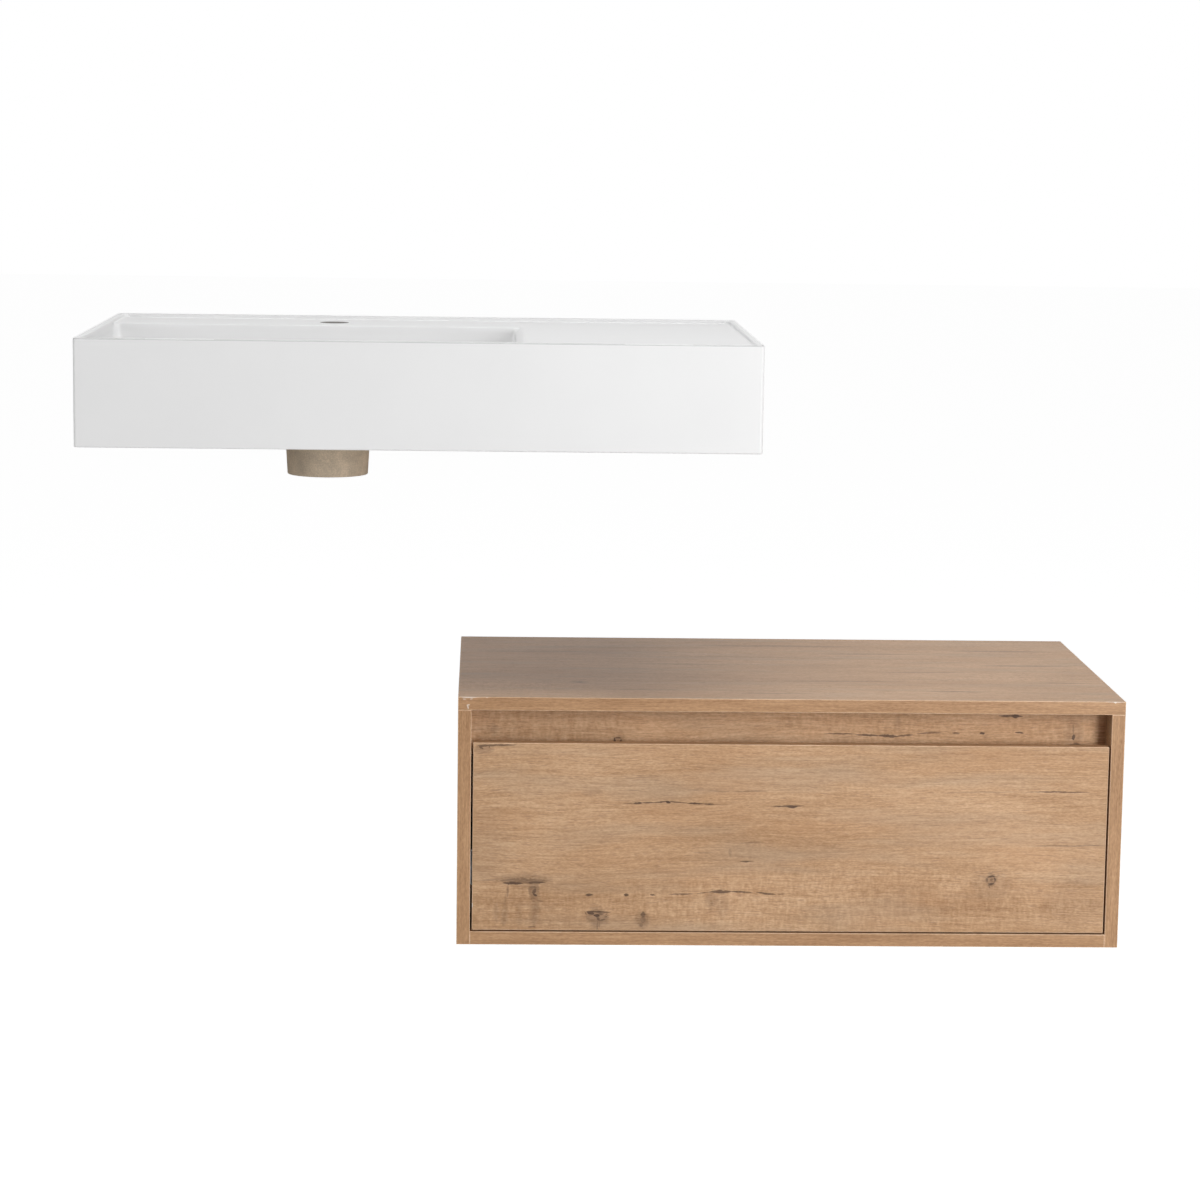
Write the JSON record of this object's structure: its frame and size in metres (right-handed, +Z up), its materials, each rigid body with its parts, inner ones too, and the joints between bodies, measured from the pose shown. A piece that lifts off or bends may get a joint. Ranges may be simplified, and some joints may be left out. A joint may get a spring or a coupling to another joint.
{
  "type": "floating vanity",
  "caption": "Wall-hung vanity: a long washbasin with a bowl, tap deck and side tray, hung above and beside an oak-look cabinet with a full-width drawer and finger-pull slot.",
  "frame": {"origin": "centre of the cabinet's wall plate holes, on the wall plane, midway across the cabinet", "axes": "+Z up, +X to the right along the wall, +Y into the wall; the front faces -Y"},
  "size_m": [1.241, 0.48, 0.72],
  "materials": {
    "cast_basin": "matt white gel-coated mineral cast, raw taupe underneath",
    "oak_board": "oak-decor laminated particle board, satin",
    "oak_edge_band": "oak-decor edge band, satin",
    "beech": "plain turned beech",
    "zinc_steel": "bright zinc plated",
    "ball_steel": "polished bearing steel",
    "yellow_zinc": "yellow passivated zinc",
    "grey_plastic": "moulded, matt"
  },
  "bodies": {
    "fixed_set": {"basin_shell": "cast_basin", "cabinet_top_panel": "oak_board", "cabinet_left_side": "oak_board", "cabinet_right_side": "oak_board", "cabinet_bottom_panel": "oak_board", "cabinet_back_panel": "oak_board", "finger_pull_rail": "oak_board", "cabinet_top_bands": "oak_edge_band", "cabinet_left_bands": "oak_edge_band", "cabinet_right_bands": "oak_edge_band", "cabinet_bottom_band": "oak_edge_band", "finger_pull_rail_band": "oak_edge_band", "cabinet_dowels": "beech", "cam_locks": "zinc_steel", "cam_bolts": "zinc_steel", "left_wall_plate": "zinc_steel", "right_wall_plate": "zinc_steel", "left_hanger_hook": "zinc_steel", "right_hanger_hook": "zinc_steel", "hanger_screws": "zinc_steel", "left_runner_outer": "zinc_steel", "right_runner_outer": "zinc_steel", "runner_cabinet_screws": "zinc_steel", "hanger_adjusters": "yellow_zinc", "left_hanger_housing": "grey_plastic", "right_hanger_housing": "grey_plastic"},
    "drawer": {"drawer_front": "oak_board", "drawer_front_bands": "oak_edge_band", "drawer_inner_front": "oak_board", "drawer_left_side": "oak_board", "drawer_right_side": "oak_board", "drawer_back": "oak_board", "drawer_bottom": "oak_board", "drawer_dowels": "beech", "drawer_front_screws": "zinc_steel", "left_runner_inner": "zinc_steel", "right_runner_inner": "zinc_steel", "runner_drawer_screws": "zinc_steel"},
    "left_middle_member": {"left_runner_middle": "zinc_steel"},
    "right_middle_member": {"right_runner_middle": "zinc_steel"},
    "left_outer_cage_set": {"left_outer_cage": "grey_plastic", "left_outer_balls": "ball_steel"},
    "left_inner_cage_set": {"left_inner_cage": "grey_plastic", "left_inner_balls": "ball_steel"},
    "right_outer_cage_set": {"right_outer_cage": "grey_plastic", "right_outer_balls": "ball_steel"},
    "right_inner_cage_set": {"right_inner_cage": "grey_plastic", "right_inner_balls": "ball_steel"}
  },
  "joints": [
    {"name": "drawer_slide", "type": "slide", "parent": "fixed_set", "child": "drawer", "axis": [0, -1, 0], "range_m": [0, 0.4]},
    {"name": "left_middle_slide", "type": "slide", "parent": "fixed_set", "child": "left_middle_member", "axis": [0, -1, 0], "range_m": [0, 0.2]},
    {"name": "left_outer_cage_roll", "type": "slide", "parent": "fixed_set", "child": "left_outer_cage_set", "axis": [0, -1, 0], "range_m": [0, 0.1]},
    {"name": "left_inner_cage_roll", "type": "slide", "parent": "fixed_set", "child": "left_inner_cage_set", "axis": [0, -1, 0], "range_m": [0, 0.3]},
    {"name": "right_middle_slide", "type": "slide", "parent": "fixed_set", "child": "right_middle_member", "axis": [0, -1, 0], "range_m": [0, 0.2]},
    {"name": "right_outer_cage_roll", "type": "slide", "parent": "fixed_set", "child": "right_outer_cage_set", "axis": [0, -1, 0], "range_m": [0, 0.1]},
    {"name": "right_inner_cage_roll", "type": "slide", "parent": "fixed_set", "child": "right_inner_cage_set", "axis": [0, -1, 0], "range_m": [0, 0.3]}
  ],
  "couplings": [
    {"joint": "left_middle_slide", "follows": "drawer_slide", "ratio": 0.5},
    {"joint": "left_outer_cage_roll", "follows": "drawer_slide", "ratio": 0.25},
    {"joint": "left_inner_cage_roll", "follows": "drawer_slide", "ratio": 0.75},
    {"joint": "right_middle_slide", "follows": "drawer_slide", "ratio": 0.5},
    {"joint": "right_outer_cage_roll", "follows": "drawer_slide", "ratio": 0.25},
    {"joint": "right_inner_cage_roll", "follows": "drawer_slide", "ratio": 0.75}
  ]
}
